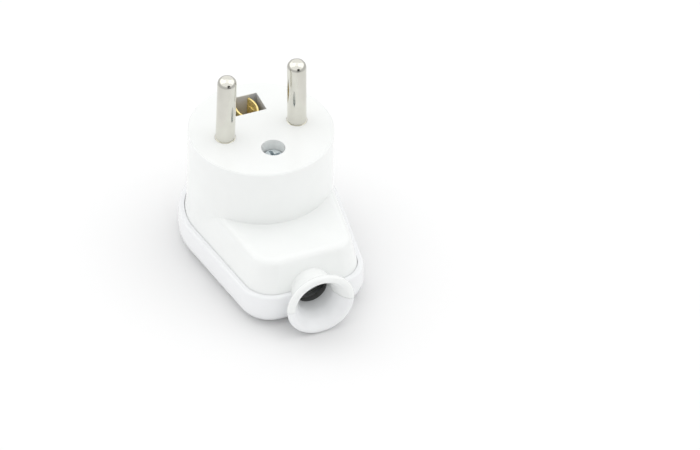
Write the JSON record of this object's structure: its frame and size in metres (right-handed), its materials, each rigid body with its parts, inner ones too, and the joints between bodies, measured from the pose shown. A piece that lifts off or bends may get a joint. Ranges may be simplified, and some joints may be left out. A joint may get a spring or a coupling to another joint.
{
  "type": "angled mains plug",
  "caption": "Angled earthed mains plug with round pins, a sprung earth socket, a moulded front housing, a tray-shaped rear cover and a flared cable mouth.",
  "frame": {"origin": "centre of the engagement face, from which the pins stand out", "axes": "+Z along the pins, towards the socket outlet; +X towards the cable mouth; +Y towards the live pin"},
  "size_m": [0.0613, 0.041, 0.0521],
  "materials": {
    "housing_white": "gloss",
    "cover_white": "gloss",
    "nickel_plate": "polished",
    "brass": "satin",
    "zinc_steel": "satin",
    "clamp_plastic": "matt",
    "fibre_ring": "matt"
  },
  "bodies": {
    "root": {"front_housing": "housing_white", "rear_cover": "cover_white", "live_pin": "nickel_plate", "neutral_pin": "nickel_plate", "live_terminal_screw": "zinc_steel", "neutral_terminal_screw": "zinc_steel", "earth_terminal_screw": "zinc_steel", "live_wire_plate": "brass", "neutral_wire_plate": "brass", "earth_wire_plate": "brass", "earth_leaf_left": "brass", "earth_leaf_right": "brass", "earth_terminal_block": "brass", "earth_rivet": "brass", "cord_clamp": "clamp_plastic", "clamp_screw_left": "zinc_steel", "clamp_screw_right": "zinc_steel", "cover_screw": "zinc_steel", "cover_nut": "zinc_steel", "screw_retainer": "fibre_ring"}
  },
  "joints": []
}
